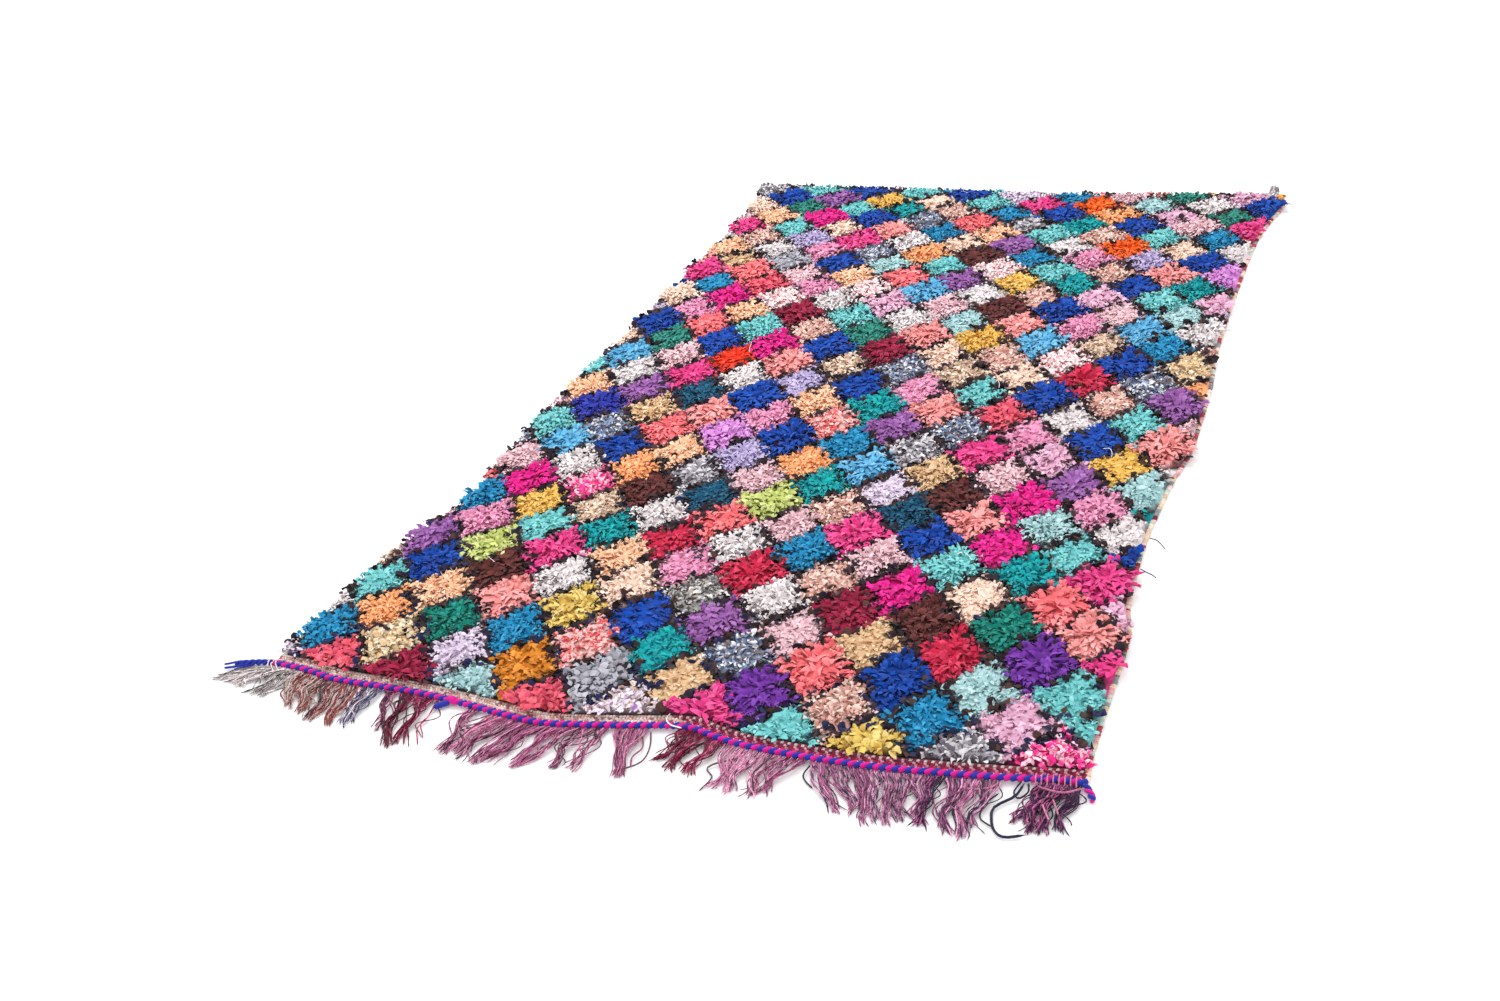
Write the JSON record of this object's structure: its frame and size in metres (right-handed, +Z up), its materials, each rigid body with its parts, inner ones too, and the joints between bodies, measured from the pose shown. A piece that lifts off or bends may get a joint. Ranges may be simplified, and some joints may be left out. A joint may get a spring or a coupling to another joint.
{
  "type": "boucherouite rug",
  "caption": "Long rag rug lying flat: shaggy pile knotted in rows of offset diamonds, a flat-woven end band, a two-ply end cord and a warp fringe.",
  "frame": {"origin": "middle of the overall outline, pile locks, fringe and cord tails included, on the floor that the rug lies on", "axes": "+X across the rug, from the selvedge on the picture's left to the one on its right; +Y along the rug, away from the fringed end; +Z up through the pile"},
  "size_m": [1.3316, 2.1838, 0.0236],
  "materials": {
    "rag_pile": "matt cotton, wool and jersey rags in many colours",
    "outline_rags": "matt near-black wool and rag outlines",
    "ground_weave": "matt flat weave in flecked beige, brown, brick and pink",
    "end_cord": "wool cord of one royal blue and one magenta ply",
    "fringe_yarn": "wool warp yarns in mauve, pink, dark red, navy and grey"
  },
  "bodies": {
    "root": {"rug_body": "rag_pile", "end_cord": "end_cord", "fringe": "fringe_yarn"}
  },
  "joints": []
}
